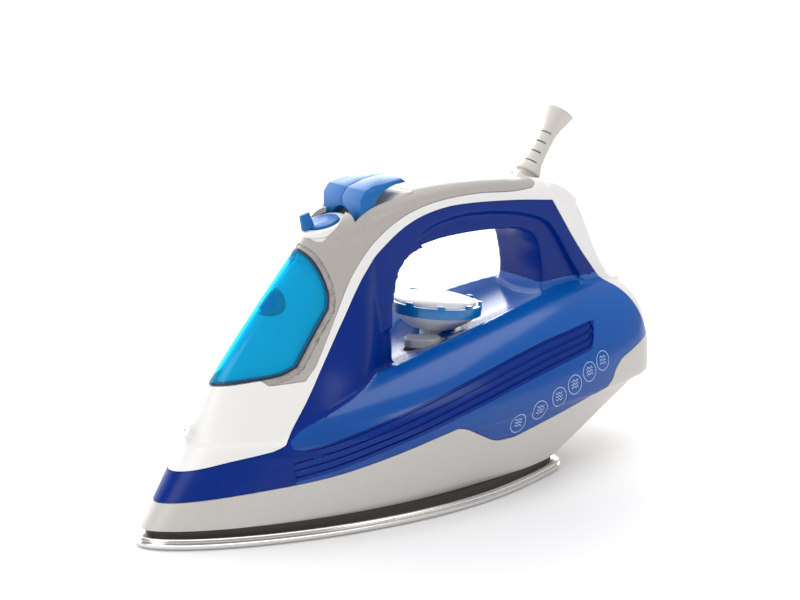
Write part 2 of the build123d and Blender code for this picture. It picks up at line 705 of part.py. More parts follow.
with BuildPart() as valve_seat:
    with BuildSketch(Plane.XY.offset(CHAMBER_TOP)):
        with Locations((at(VALVE_BACK), 0)):
            Circle(4.5)
            Circle(1.5 + RUN_FIT, mode=Mode.SUBTRACT)
    extrude(amount=BASE_TOP + 3 - CHAMBER_TOP)
    with BuildSketch(Plane.XY.offset(CHAMBER_TOP)):
        with Locations((at(VALVE_BACK), 0)):
            Circle(2.4)
    extrude(amount=14, mode=Mode.SUBTRACT)
finish(valve_seat.part, "valve_seat")

# ---------------------------------------------------------------- push buttons and pumps
BUTTON = [
    (115.3, 140), (115.5, 149.5), (118.5, 153.6), (127, 156.2), (135, 157.4), (142.6, 157.4),
    (143.4, 155.2), (135, 154.4), (129, 152.6), (124.5, 148.2), (121.2, 141), (118.6, 137.6), (117, 137.4),
]
FRAME = [
    (112.2, 131.2), (112.2, 133.4), (122.4, 133.4), (126.2, 140.6), (131, 146.4), (137, 149.8),
    (145.8, 150.6), (145.8, 149.8), (138, 147.4), (131.1, 142.4), (124.6, 131.2),
]
BARREL_TOP, BARREL_BOTTOM, BARREL_RADIUS, BORE = 130.0, 100.0, 6.0, 4.1


def pump_plane(side, level):
    """A level plane on the axis of one of the two pumps."""
    return Plane(origin=(at(PUMP_BACK), side * PUMP_SIDE, level))


with BuildPart() as button_frame:
    add(side_block(FRAME, BUTTON_HALF_WIDTH + GAP))
    for side in (-1, 1):
        add(rod(pump_plane(side, 110), 2.2, 60), mode=Mode.SUBTRACT)
finish(button_frame.part, "button_frame")

CROWN = [(15.5, 130), (15.5, 152.6), (14.0, 155.2), (10.5, 156.8), (4, 157.4)]
for side, name in ((-1, "burst"), (1, "spray")):
    with BuildPart() as button:
        add(side_block(BUTTON, BUTTON_HALF_WIDTH))
        with BuildSketch(Plane.YZ.offset(at(105))):
            with BuildLine():
                Polyline(*CROWN, *[(-y, z) for y, z in reversed(CROWN)], close=True)
            make_face()
        extrude(amount=60, mode=Mode.INTERSECT)
        with BuildSketch(Plane.YZ.offset(at(100))):
            with Locations((0, 135.2)):
                Circle(9.6)
        extrude(amount=22, mode=Mode.SUBTRACT)
        half = Pos(0, side * (50 + 0.2), 0) * box((60, 200), 50, (60, 200))
        add(half, mode=Mode.INTERSECT)
    finish(button.part, f"{name}_button")
    with BuildPart() as piston:
        add(rod(pump_plane(side, 116), BORE - RUN_FIT, 6))
        add(rod(pump_plane(side, 122), 1.6, 60))
        add(side_block(BUTTON, 30), mode=Mode.SUBTRACT)
        add(box((60, 200), 60, (151, 200)), mode=Mode.SUBTRACT)
    finish(piston.part, f"{name}_piston")
    with BuildPart() as barrel:
        add(rod(pump_plane(side, BARREL_BOTTOM), BARREL_RADIUS, BARREL_TOP - BARREL_BOTTOM))
        add(rod(pump_plane(side, BARREL_BOTTOM + 2), BORE, 60), mode=Mode.SUBTRACT)
        add(rod(pump_plane(side, BARREL_BOTTOM - 5), 1.0, 10), mode=Mode.SUBTRACT)
        add(body_shell.part, mode=Mode.SUBTRACT)
    finish(barrel.part, f"{name}_barrel")
    with BuildPart() as spring:
        with BuildLine():
            coil = Helix(pitch=2.2, height=13.0, radius=3.0, center=(at(PUMP_BACK), side * PUMP_SIDE, 102.5))
        with BuildSketch(Plane(origin=coil @ 0, z_dir=coil % 0)):
            Circle(0.4)
        sweep(is_frenet=True)
    finish(spring.part, f"{name}_spring")

# ---------------------------------------------------------------- temperature dial
with BuildPart() as dial_ring:
    add(rod(dial_plane(DIAL_RING), DIAL_RADIUS, DIAL_RING, bore=DIAL_RADIUS - 3.0))
    with BuildSketch(dial_plane(0)):
        with PolarLocations(DIAL_RADIUS - 1.2, 9):
            Rectangle(2.0, 3.4)
    extrude(amount=1.4)
finish(dial_ring.part, "dial_ring")

with BuildPart() as dial_cap:
    add(rod(dial_plane(DIAL_RING), DIAL_RADIUS - 3.0, DIAL_RING + 1.0))
    with BuildSketch(dial_plane(-1.0)):
        Circle(DIAL_RADIUS - 3.0)
    with BuildSketch(dial_plane(-3.2)):
        Circle(DIAL_RADIUS - 12.0)
    loft()
finish(dial_cap.part, "dial_cap")

SHAFT_RADIUS = 3.0
with BuildPart() as dial_bowl:
    with BuildSketch(dial_plane(DIAL_RING)):
        Circle(DIAL_RADIUS - 0.6)
    with BuildSketch(dial_plane(DIAL_RING + DIAL_BOWL)):
        Circle(12.5)
    loft()
finish(dial_bowl.part, "dial_bowl")

finish(rod(dial_plane(56), SHAFT_RADIUS, 56 - DIAL_RING - DIAL_BOWL), "dial_shaft")
with BuildPart() as dial_sleeve:
    add(rod(dial_plane(48), SLEEVE_RADIUS, 48 - DIAL_RING - DIAL_BOWL - 1.2, bore=SHAFT_RADIUS + RUN_FIT))
finish(dial_sleeve.part, "dial_sleeve")

with BuildPart() as thermostat:
    add(box((140, 166), 8, (CHAMBER_TOP, 30)))
    add(rod(dial_plane(64), 7.0, 14))
    add(box((100, 200), 40, (0, CHAMBER_TOP)), mode=Mode.SUBTRACT)
    add(rod(dial_plane(57), SHAFT_RADIUS + RUN_FIT, 20), mode=Mode.SUBTRACT)
finish(thermostat.part, "thermostat")

with BuildPart() as thermal_fuse:
    with BuildSketch(Plane(origin=(at(178), 0, CHAMBER_TOP + 2.6), z_dir=(1, 0, 0))):
        Circle(2.6)
    extrude(amount=14)
finish(thermal_fuse.part, "thermal_fuse")

# ---------------------------------------------------------------- self-clean button
with BuildPart() as self_clean_cup:
    add(stadium(CUP_FLOOR, 12, grow=GAP + CUP_WALL))
    add(stadium(CUP_FLOOR + 1.4, 20, grow=GAP), mode=Mode.SUBTRACT)
    add(upper_body(), mode=Mode.INTERSECT)
    add(rod(dial_plane(60), SLEEVE_RADIUS + GAP, 60), mode=Mode.SUBTRACT)
    with Locations((at(TAB_BACK), TAB_SIDE, CUP_FLOOR + 1.4)):
        Hole(1.8 + RUN_FIT)
finish(self_clean_cup.part, "self_clean_cup")

with BuildPart() as self_clean_button:
    add(stadium(TAB_BOTTOM, TAB_TOP - TAB_BOTTOM))
    fillet(self_clean_button.faces().sort_by(Axis.Z)[-1].edges(), 1.0)
finish(self_clean_button.part, "self_clean_button")

with BuildPart() as self_clean_rod:
    with BuildSketch(Plane.XY.offset(CHAMBER_TOP + 4)):
        with Locations((at(TAB_BACK), TAB_SIDE)):
            Circle(1.8)
    extrude(amount=TAB_BOTTOM - CHAMBER_TOP - 4)
finish(self_clean_rod.part, "self_clean_rod")

with BuildPart() as self_clean_spring:
    with BuildLine():
        coil = Helix(pitch=1.1, height=3.3, radius=2.9, center=(at(TAB_BACK), TAB_SIDE, CUP_FLOOR + 1.9))
    with BuildSketch(Plane(origin=coil @ 0, z_dir=coil % 0)):
        Circle(0.35)
    sweep(is_frenet=True)
finish(self_clean_spring.part, "self_clean_spring")

# ---------------------------------------------------------------- cord guard
NECK, CORD_BORE = 4.6, 3.3


def guard_plane(reach):
    """A plane square to the cord guard, that far out from the centre of its ball."""
    return tilted(GUARD_BACK, GUARD_FOOT, GUARD_LEAN, drop=BALL_DEPTH - reach)


with BuildPart() as cord_socket:
    add(rod(guard_plane(-10.5), SOCKET_RADIUS, 30))
    add(outer, mode=Mode.INTERSECT)
    with Locations(ball_plane.origin):
        Sphere(BALL_RADIUS + RUN_FIT, mode=Mode.SUBTRACT)
    add(rod(guard_plane(-20), 5.5, 20), mode=Mode.SUBTRACT)
    with BuildSketch(guard_plane(3.5)):
        Circle(7.2)
    with BuildSketch(guard_plane(16.0)):
        Circle(20.0)
    loft(mode=Mode.SUBTRACT)
    add(grip_panel.part, mode=Mode.SUBTRACT)
finish(cord_socket.part, "cord_socket")

with BuildPart() as cord_ball:
    with Locations(ball_plane.origin):
        Sphere(BALL_RADIUS)
    add(rod(guard_plane(-20), NECK + RUN_FIT, 40), mode=Mode.SUBTRACT)
finish(cord_ball.part, "cord_ball")

end = BALL_DEPTH + GUARD_LENGTH
GUARD_PROFILE = [
    (CORD_BORE, -6.0), (NECK, -6.0), (NECK, 8.2), (6.9, 8.6), (6.4, 11.0), (4.9, 15.0), (4.4, 21.0),
    (4.3, 31.0), (5.0, 36.0), (6.6, 41.0), (7.85, end), (6.9, end), (5.2, 41.0), (CORD_BORE, 36.0),
]
with BuildPart() as cord_guard:
    with BuildSketch(Plane(origin=ball_plane.origin, x_dir=(0, 1, 0), z_dir=ball_plane.x_dir)):
        with BuildLine():
            Polyline(*GUARD_PROFILE, close=True)
        make_face()
    revolve(axis=Axis(ball_plane.origin, ball_plane.z_dir))
finish(cord_guard.part, "cord_guard")

# ---------------------------------------------------------------- wiring
with BuildPart() as terminal_block:
    add(box((240, 252), 11, (104, 116)))
    with BuildSketch(Plane.YZ.offset(at(236))):
        with GridLocations(7, 0, 3, 1):
            with Locations((0, 110)):
                Circle(1.8)
    extrude(amount=20, mode=Mode.SUBTRACT)
finish(terminal_block.part, "terminal_block")

finish(box((236, 246), 7, (122, 126)), "cord_clamp")

LEAD = 1.1
with BuildPart() as inner_leads:
    for side in (-1, 1):
        route = [(at(252), side * 7, 110), (at(263), side * 9, 102), (at(266), side * 14, 62),
                 (at(263), side * 20, 36), (at(236), side * 23, 26), (at(226), side * 23, ELEMENT_LEVEL),
                 (at(217), side * 23, ELEMENT_LEVEL)]
        with BuildLine() as lead_line:
            FilletPolyline(*route, radius=4)
        with BuildSketch(Plane(origin=lead_line.line @ 0, z_dir=lead_line.line % 0)):
            Circle(LEAD)
        sweep()
finish(inner_leads.part, "inner_leads")

with BuildPart() as spray_hose:
    route = [(at(PUMP_BACK), PUMP_SIDE, BARREL_BOTTOM - 0.5), (at(PUMP_BACK), PUMP_SIDE, 88),
             (at(104), 15, 74), (at(62), 8, 56), (at(36.6), 0, 45.1)]
    with BuildLine() as hose_line:
        FilletPolyline(*route, radius=5)
    with BuildSketch(Plane(origin=hose_line.line @ 0, z_dir=hose_line.line % 0)):
        Circle(2.0)
        Circle(1.0, mode=Mode.SUBTRACT)
    sweep()
finish(spray_hose.part, "spray_hose")
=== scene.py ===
import json
import math

import bmesh
import bpy
import numpy as np
from mathutils import Matrix, Vector
from mathutils.bvhtree import BVHTree

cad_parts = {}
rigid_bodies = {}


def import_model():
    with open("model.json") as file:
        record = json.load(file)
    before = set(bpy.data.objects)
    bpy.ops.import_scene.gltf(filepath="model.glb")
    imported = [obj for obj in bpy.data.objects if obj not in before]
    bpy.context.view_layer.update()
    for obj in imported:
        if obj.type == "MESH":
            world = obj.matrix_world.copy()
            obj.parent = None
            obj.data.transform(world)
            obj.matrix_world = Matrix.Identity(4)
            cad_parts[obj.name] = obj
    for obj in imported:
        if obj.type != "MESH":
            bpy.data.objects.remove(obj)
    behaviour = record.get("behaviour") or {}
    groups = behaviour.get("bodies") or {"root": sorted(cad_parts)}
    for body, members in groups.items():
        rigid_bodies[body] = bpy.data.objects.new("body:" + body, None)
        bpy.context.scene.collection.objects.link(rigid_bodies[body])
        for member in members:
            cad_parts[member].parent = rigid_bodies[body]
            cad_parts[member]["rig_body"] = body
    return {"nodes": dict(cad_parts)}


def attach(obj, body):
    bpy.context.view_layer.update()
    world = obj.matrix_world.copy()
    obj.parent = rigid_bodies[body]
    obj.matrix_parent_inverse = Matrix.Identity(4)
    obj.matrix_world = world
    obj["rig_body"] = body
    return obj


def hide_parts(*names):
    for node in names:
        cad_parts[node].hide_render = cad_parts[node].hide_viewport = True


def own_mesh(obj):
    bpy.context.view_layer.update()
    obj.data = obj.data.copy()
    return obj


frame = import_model()
nodes = frame["nodes"]
scene = bpy.context.scene


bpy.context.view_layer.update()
MM = 0.001
LENGTH = 293.0


def at(back):
    return back - LENGTH / 2


# ------------------------------------------------------------------ mesh tools
def mesh_object(name, verts, faces):
    """A mesh object from millimetres."""
    mesh = bpy.data.meshes.new(name)
    mesh.from_pydata([tuple(c * MM for c in v) for v in verts], [], faces)
    bm = bmesh.new()
    bm.from_mesh(mesh)
    bmesh.ops.triangulate(bm, faces=[f for f in bm.faces if len(f.verts) > 4])
    bmesh.ops.recalc_face_normals(bm, faces=bm.faces)
    bm.to_mesh(mesh)
    bm.free()
    obj = bpy.data.objects.new(name, mesh)
    scene.collection.objects.link(obj)
    return obj


def bake(obj, *modifiers):
    """Applies modifiers given as (type, {settings})."""
    for kind, settings in modifiers:
        m = obj.modifiers.new(kind, kind)
        for key, value in settings.items():
            setattr(m, key, value)
    bpy.context.view_layer.update()
    graph = bpy.context.evaluated_depsgraph_get()
    mesh = bpy.data.meshes.new_from_object(obj.evaluated_get(graph))
    obj.modifiers.clear()
    old = obj.data
    obj.data = mesh
    if old.users == 0:
        bpy.data.meshes.remove(old)
    return obj


def drop(*objs):
    for o in objs:
        bpy.data.objects.remove(o)


def twin(obj, name):
    copy = bpy.data.objects.new(name, obj.data.copy())
    scene.collection.objects.link(copy)
    return copy


def cut(obj, *tools, operation="DIFFERENCE"):
    for tool in tools:
        bake(obj, ("BOOLEAN", {"operation": operation, "solver": "MANIFOLD", "object": tool}))
    return obj


def bezier(points, count, last=False):
    p = [np.array(q, float) for q in points]
    out = []
    for i in range(count + (1 if last else 0)):
        t = i / count
        out.append((1 - t) ** 3 * p[0] + 3 * t * (1 - t) ** 2 * p[1] + 3 * t * t * (1 - t) * p[2] + t**3 * p[3])
    return out


def heading(last, here, following):
    """The way a line runs at a point, from the points on both sides of it."""
    return (following - last) / (np.linalg.norm(following - here) + np.linalg.norm(here - last))


def weights(t):
    """A cubic's shares of start, start's slope, end and end's slope."""
    return 2 * t**3 - 3 * t**2 + 1, t**3 - 2 * t**2 + t, -2 * t**3 + 3 * t**2, t**3 - t**2


def curve(points, step=1.5):
    """A smooth line through points in the plane, in short steps."""
    p = [np.array(q, float) for q in points]
    if len(p) == 2:
        return p
    out = []
    for i in range(len(p) - 1):
        a, b = p[i], p[i + 1]
        ta = heading(p[i - 1] if i else a, a, b)
        tb = heading(a, b, p[i + 2] if i + 2 < len(p) else b)
        size = np.linalg.norm(b - a)
        n = max(2, int(size / step))
        for k in range(n):
            h = weights(k / n)
            out.append(h[0] * a + h[1] * size * ta + h[2] * b + h[3] * size * tb)
    out.append(p[-1])
    return out


def chain(stretches, step=1.5):
    out = []
    for stretch in stretches:
        line = curve(stretch, step)
        out += line if not out else line[1:]
    return out


def prism(name, outline, low, high):
    """A side-view outline of (back, height) pushed through in Y from low to high."""
    n = len(outline)
    verts = [(at(b), low, z) for b, z in outline] + [(at(b), high, z) for b, z in outline]
    faces = [tuple(range(n)), tuple(range(2 * n - 1, n - 1, -1))]
    faces += [(i, n + i, n + (i + 1) % n, (i + 1) % n) for i in range(n)]
    return mesh_object(name, verts, faces)


def lathe(name, profile, origin, axis, segments=96, closed=True):
    """A profile of (radius, along) turned about an axis."""
    axis = Vector(axis).normalized()
    side = Vector((0, 1, 0))
    across = side.cross(axis).normalized()
    origin = Vector(origin)
    verts, faces = [], []
    for r, h in profile:
        for k in range(segments):
            a = 2 * math.pi * k / segments
            out = across * math.cos(a) + side * math.sin(a)
            verts.append(tuple(origin + axis * h + out * max(r, 1e-4)))
    rows = len(profile)
    for i in range(rows if closed else rows - 1):
        j = (i + 1) % rows
        for k in range(segments):
            m = (k + 1) % segments
            faces.append((i * segments + k, i * segments + m, j * segments + m, j * segments + k))
    if not closed:
        faces.append(tuple(range(segments)))
        faces.append(tuple((rows - 1) * segments + k for k in range(segments)))
    return mesh_object(name, verts, faces)


def smooth(obj, angle=40):
    for face in obj.data.polygons:
        face.use_smooth = True
    obj.data.set_sharp_from_angle(angle=math.radians(angle))
    return obj


# ------------------------------------------------------------------ the iron's form
def plan(front, wide, rear, width, rear_width, corner, bluff=0.3, run=0.5, bulge=0.08, fine=1):
    """An outline seen from above: a bow, a side, a rounded rear corner and a straight heel."""
    nose, middle, turn, end = at(front), at(wide), at(rear) - corner, at(rear)
    side = turn - middle
    half = bezier(
        [(nose, 0), (nose, bluff * width), (middle - run * (middle - nose), width), (middle, width)],
        36 * fine,
    )
    half += bezier(
        [(middle, width), (middle + 0.4 * side, width), (turn - 0.3 * side, rear_width + bulge * side),
         (turn, rear_width)],
        30 * fine,
    )
    half += bezier(
        [(turn, rear_width), (turn + 0.6 * corner, rear_width - 0.16 * corner), (end, rear_width - 0.45 * corner),
         (end, rear_width - corner)],
        10,
    )
    half += [np.array((end, (rear_width - corner) * (1 - k / 6))) for k in range(7)]
    return half + [np.array((x, -y)) for x, y in reversed(half[1:-1])]


def skin(name, rings):
    """A closed form through rings of the same number of points."""
    n = len(rings[0])
    verts = [tuple(p) for ring in rings for p in ring]
    faces = [tuple(range(n)), tuple((len(rings) - 1) * n + k for k in range(n))]
    for i in range(len(rings) - 1):
        for k in range(n):
            m = (k + 1) % n
            faces.append((i * n + k, i * n + m, (i + 1) * n + m, (i + 1) * n + k))
    return mesh_object(name, verts, faces)


SPLIT, SKIRT_BOTTOM = 45.0, 8.5
BASE_PLAN = (2.5, 150, 225, 50, 45.5, 14.0)
SPLIT_PLAN = (25.5, 168, LENGTH, 57.5, 47.0, 20.0)


def flare(z):
    """The lower body's outline at a height."""
    t = (z - SKIRT_BOTTOM) / (SPLIT - SKIRT_BOTTOM)
    low, high = plan(*BASE_PLAN), plan(*SPLIT_PLAN)
    return [(*(a + (b - a) * t), z) for a, b in zip(low, high)]


lower = skin("lower", [flare(z) for z in (5.0, SKIRT_BOTTOM, 20, 32, SPLIT)])

split_line = np.array([p for p in plan(*SPLIT_PLAN, fine=4) if p[1] >= 0])


def split_width(x):
    """The body's half width at the height where the lower and upper forms meet."""
    keep = split_line[np.argsort(split_line[:, 0], kind="stable")]
    return float(np.interp(x, keep[:, 0], keep[:, 1]))


TANK_TOPS = [(58, 47), (64, 52.5), (72, 57.5), (105, 67.5), (140, 76.5), (180, 84.5), (225, 91),
             (262, 92.5), (278, 92.5), (290, 92.5)]
tops = np.array(curve(TANK_TOPS, 3.0))
rings = []
for back, top in tops:
    x, rise = at(back), top - SPLIT
    width = split_width(x)
    half = bezier(
        [(width, SPLIT - 4), (width, SPLIT + 0.7 * rise), (0.62 * width, SPLIT + rise), (0, SPLIT + rise)],
        40,
        True,
    )
    rings.append([(x, y, z) for y, z in half] + [(x, -y, z) for y, z in reversed(half[:-1])])
upper = skin("upper", rings)

# the deck under the grip is a round valley, with a well for the dial
VALLEY_RADIUS = 60
run = Vector((110, 0, 23)).normalized()
up = Vector((-run.z, 0, run.x))
start = Vector((at(125), 0, 63)) - run * 60 + up * VALLEY_RADIUS
valley = lathe("valley", [(VALLEY_RADIUS, 0), (VALLEY_RADIUS, 260)], start, run, closed=False)
DIAL_BACK, DIAL_TOP, DIAL_TILT = 172, 89.2, math.radians(6)
dial_axis = Vector((math.sin(DIAL_TILT), 0, math.cos(DIAL_TILT)))
dial_top = Vector((at(DIAL_BACK), 0, DIAL_TOP))
well = lathe("well", [(14, -14.4), (26.5, -6.2), (26.5, 60)], dial_top, dial_axis, closed=False)
REAR_LINE = [(272, 95), (280, 89.5), (286, 76), (290, 60), (292, 40)]
rear_cut = prism("rear_cut", curve(REAR_LINE) + [(330, 40), (330, 130), (272, 130)], -90, 90)
cut(upper, valley, well, rear_cut)

# the nose at rising heights: height, front, widest place, rear, half width
LEVELS = [(38.5, 22.8, 84, 118, 38.9), (48, 27.6, 90, 124, 35.6), (60, 34.3, 98, 131, 32.5),
          (76, 44.8, 106, 134, 27.5), (104, 68.3, 112, 134.5, 22.0), (134, 95.5, 122, 138, 19.0),
          (138, 99.2, 123.5, 138.4, 18.8)]
LEVEL_STEPS = 6
rings = []
for i in range(len(LEVELS) - 1):
    for k in range(LEVEL_STEPS + (1 if i == len(LEVELS) - 2 else 0)):
        h = weights(k / LEVEL_STEPS)
        a, b = np.array(LEVELS[i]), np.array(LEVELS[i + 1])
        p0 = np.array(LEVELS[i - 1]) if i else 2 * a - b
        p3 = np.array(LEVELS[i + 2]) if i + 2 < len(LEVELS) else 2 * b - a
        ta = (b - p0) * (b[0] - a[0]) / (b[0] - p0[0])
        tb = (p3 - a) * (b[0] - a[0]) / (p3[0] - a[0])
        z, front, wide, rear, width = h[0] * a + h[1] * ta + h[2] * b + h[3] * tb
        level = plan(front, wide, rear, width, 0.75 * width, 0.3 * width, run=0.35)
        rings.append([(x, y, z) for x, y in level])
nose = skin("nose", rings)

# the grip's outline from the side, each stretch with the radius its edges are rounded to
HALF_GRIP = 20.5
crown = curve([(97, 135), (110, 142.5), (126, 147.8), (160, 151.8), (200, 150.8), (232, 147)])
rear_line = curve([(252, 137), (259, 125), (270, 104), (284, 84)])
shoulder = curve([crown[-2], crown[-1], (240.5, 144.6), (247, 141.2), rear_line[0], rear_line[1]])[1:-1]
rear_post = curve([(229, 84), (229.5, 100), (226.5, 114)])
under = curve([(214, 123.5), (190, 125.6), (165, 125.2), (149, 123)])
rear_corner = curve([rear_post[-2], rear_post[-1], (222.6, 119.8), under[0], under[1]])[1:-1]
front_post = curve([(134, 112), (131.5, 99), (131, 84)])
front_corner = curve([under[-2], under[-1], (140.2, 119.4), front_post[0], front_post[1]])[1:-1]
outline = []
REAR_FOOT, FRONT_FOOT = [(260, 84), (245, 84)], [(122, 84), (112, 84), (104, 102), (97, 120)]
for line, soft in ((crown, 9.0), (shoulder, 9.0), (rear_line, 9.0), (REAR_FOOT, 0.0), (rear_post, 4.5),
                   (rear_corner, 4.5), (under, 6.0), (front_corner, 4.5), (front_post, 4.0), (FRONT_FOOT, 0.0)):
    for p in line:
        p = np.array(p, float)
        if not outline or np.linalg.norm(p - outline[-1][0]) > 0.4:
            outline.append((p, soft))
spots = np.array([p for p, _ in outline])
soften = np.array([s for _, s in outline])
ahead, behind = np.roll(spots, -1, 0), np.roll(spots, 1, 0)
tangent = ahead - behind
tangent /= np.maximum(np.linalg.norm(tangent, axis=1), 1e-6)[:, None]
inward = np.stack([tangent[:, 1], -tangent[:, 0]], 1)
grip_plan = plan(93, 128, 292, HALF_GRIP, HALF_GRIP + 1, 4, bluff=0.5, bulge=0.0, fine=4)
grip_plan = np.array([p for p in grip_plan if p[1] >= 0])
grip_plan = grip_plan[np.argsort(grip_plan[:, 0], kind="stable")]
rings = []
for s in np.sin(np.linspace(-math.pi / 2, math.pi / 2, 61)):
    reach = abs(s) * HALF_GRIP
    over = np.clip(reach - (HALF_GRIP - soften), 0, None)
    depth = np.where(soften > 0, soften - np.sqrt(np.clip(soften**2 - over**2, 0, None)), 0.0)
    moved = spots + inward * depth[:, None]
    widths = np.interp(moved[:, 0] - LENGTH / 2, grip_plan[:, 0], grip_plan[:, 1])
    rings.append([(at(b), s * w, z) for (b, z), w in zip(moved, widths)])
handle = skin("handle", rings)

# the handle's sides are let in round the finger opening
CREASE = [
    [(146, 126.5), (150, 130.5), (159, 134), (176, 136), (194, 135), (208, 133), (220, 130), (229, 126),
     (237, 117), (245, 105), (253, 94)],
    [(253, 94), (256, 86)],
]
RECESS_FLOOR = 17.4
recess_outline = chain(CREASE) + [(200, 86), (157, 86), (157, 118)]
recesses = [prism("recess", recess_outline, *span) for span in ((RECESS_FLOOR, 60), (-60, -RECESS_FLOOR))]
cut(handle, *recesses)
drop(*recesses)

# the four forms become one, on a fine even mesh
FINE = 1.0
body = bake(lower, ("BOOLEAN", {"operation": "UNION", "solver": "MANIFOLD", "object": upper}))
for part in (nose, handle):
    cut(body, part, operation="UNION")
posts = [nose, handle]
drop(upper, valley, well, rear_cut)
bake(body, ("REMESH", {"mode": "VOXEL", "voxel_size": FINE * MM}), ("SMOOTH", {"factor": 0.5, "iterations": 8}))
floor_box = prism("floor_box", [(-20, -10), (320, -10), (320, SKIRT_BOTTOM), (-20, SKIRT_BOTTOM)], -90, 90)
cut(body, floor_box)
drop(floor_box)


def drawn_in(depth):
    """The body's form, drawn in from its surface by a depth in millimetres."""
    form = bake(twin(body, "form"), ("DISPLACE", {"strength": -depth * MM, "mid_level": 0.0}))
    if depth > 1.0:
        bake(form, ("REMESH", {"mode": "VOXEL", "voxel_size": 1.5 * FINE * MM}))
    return form


WALL, LID_WALL, RIM_DEPTH = 2.4, 1.8, 0.8
inner = drawn_in(WALL)
shallow = drawn_in(RIM_DEPTH)
lid_inner = drawn_in(LID_WALL)
shell = cut(twin(body, "shell"), inner)
lid_wall = cut(twin(body, "lid_wall"), lid_inner)
skin_deep = cut(twin(body, "skin_deep"), shallow)


# ------------------------------------------------------------------ seams and panels
SKIRT_SEAM = [
    [(-8, 19), (10, 20), (46, 24), (81, 28), (108, 33.5), (143, 42.3)],
    [(143, 42.3), (148, 41), (158, 35.5), (168, 30.5), (180, 29.6)],
    [(180, 29.6), (245, 42.5)],
    [(245, 42.5), (249, 45.5), (252.5, 50.5), (258, 54.5)],
    [(258, 54.5), (305, 66)],
]
NOSE_SEAM = [
    [(-8, 32.5), (18, 33.2), (40, 38.5), (56, 42)],
    [(56, 42), (62, 44.8), (66, 49.5)],
    [(66, 49.5), (83, 70.5), (100, 95), (113, 114), (125, 126.5), (138, 135), (152, 139.8), (170, 141.8),
     (205, 140), (232, 137)],
]
REAR_SEAM = [
    [(232, 137), (250, 111.5), (266, 92)],
    [(266, 92), (276, 84), (283, 70), (287, 54), (289.5, 36)],
    [(289.5, 36), (289.5, 0)],
]
GRIP_SEAM = [
    [(48, 96), (50, 90), (57, 74)],
    [(57, 74), (62, 69.5)],
    [(62, 69.5), (78, 70.5)],
    [(78, 70.5), (84, 76.5)],
    [(84, 76.5), (91, 87.5), (99, 101), (107, 114.5), (116, 125.5), (127, 135), (141, 141.5), (158, 145),
     (182, 146), (205, 144.5), (219, 144.6)],
    [(219, 144.6), (223.5, 147), (219, 151), (206, 160)],
]
LID_SEAM = [
    [(30, 69), (42, 69.5), (55, 71.2), (68, 73), (76, 76.2)],
    [(76, 76.2), (95, 101)],
    [(95, 101), (96.3, 108), (95, 117), (92.5, 124.5), (87, 131)],
]
RIB_TOP = [[(60, 39), (66, 41), (80, 44), (114, 53), (154, 63), (201, 72), (235, 76)], [(235, 76), (243, 76.5)]]
RIB_LOW = [[(60, 26), (66, 27.5), (84, 31), (113, 39), (150, 49), (195, 58), (235, 64)], [(235, 64), (243, 76.5)]]


def sideways(line, amount):
    """A side-view line moved to its left by an amount."""
    p = np.array(line)
    t = np.gradient(p, axis=0)
    t /= np.linalg.norm(t, axis=1)[:, None]
    return [tuple(q) for q in p + np.stack([-t[:, 1], t[:, 0]], 1) * amount]


def blade(seam, width, shift=0.0):
    line = chain(seam)
    return prism("blade", sideways(line, shift + width / 2) + sideways(line, shift - width / 2)[::-1], -90, 90)


def zone(seam, closing):
    return prism("zone", chain(seam) + closing, -90, 90)


below_skirt = zone(SKIRT_SEAM, [(330, 0), (330, -20), (-30, -20)])
ahead_of_nose = zone(NOSE_SEAM + REAR_SEAM, [(330, 0), (330, 190), (-40, 190)])
behind_rear = zone(REAR_SEAM, [(330, 0), (330, 190), (236, 190)])
above_grip = zone(GRIP_SEAM, [(120, 190), (60, 170), (-10, 100)])
lid_hole = zone(LID_SEAM, [(70, 150), (20, 120), (5, 80)])
SEAM = 0.32
for seam in (SKIRT_SEAM, NOSE_SEAM, REAR_SEAM[:2], GRIP_SEAM):
    knife = blade(seam, SEAM)
    cut(shell, knife)
    drop(knife)


def panel(name, keep, remove):
    """The part of the shell inside every form of one list and outside the forms of the other."""
    piece = twin(shell, name)
    for tool in keep:
        cut(piece, tool, operation="INTERSECT")
    cut(piece, *remove)
    return piece


def stub(back, height, lean, radius, low, high):
    """A round cutter on a leaning axis."""
    a = math.radians(lean)
    axis = (math.sin(a), 0, math.cos(a))
    return lathe("stub", [(radius, low), (radius, high)], (at(back), 0, height), axis, closed=False)


# back, height and lean in degrees
LEVER, NOZZLE, GUARD = (104.5, 138.0, -16), (28.2, 49.9, -60), (233.7, 148.2, 36)
lever_hole = stub(*LEVER, 11.6, -6, 30)
nozzle_hole = stub(*NOZZLE, 4.0, -8, 20)
guard_hole = stub(*GUARD, 11.0, -9, 30)
HALF_POCKET = 15.9
POCKET = [(112, 131), (112, 165), (146, 165), (146, 149.6), (138, 147.2), (131, 142.2), (124.5, 131)]
pocket = prism("pocket", POCKET, -HALF_POCKET, HALF_POCKET)

skirt = panel("skirt_cover", [below_skirt], [behind_rear])
rear = panel("rear_shell", [behind_rear], [guard_hole])
white = panel("nose_shell", [ahead_of_nose],
              [behind_rear, above_grip, lid_hole, lever_hole, nozzle_hole, guard_hole, pocket])
grip = panel("grip_shell", [above_grip], [behind_rear, lid_hole, lever_hole, guard_hole, pocket])
rim_zone = prism("rim_zone", sideways(chain(LID_SEAM), -2.4) + [(70, 150), (20, 120), (5, 80)], -90, 90)
rim_tool = cut(twin(skin_deep, "rim_tool"), rim_zone, operation="INTERSECT")
cut(grip, rim_tool)
blue = panel("blue_shell", [], [below_skirt, ahead_of_nose])
tank = twin(blue, "tank_shell")

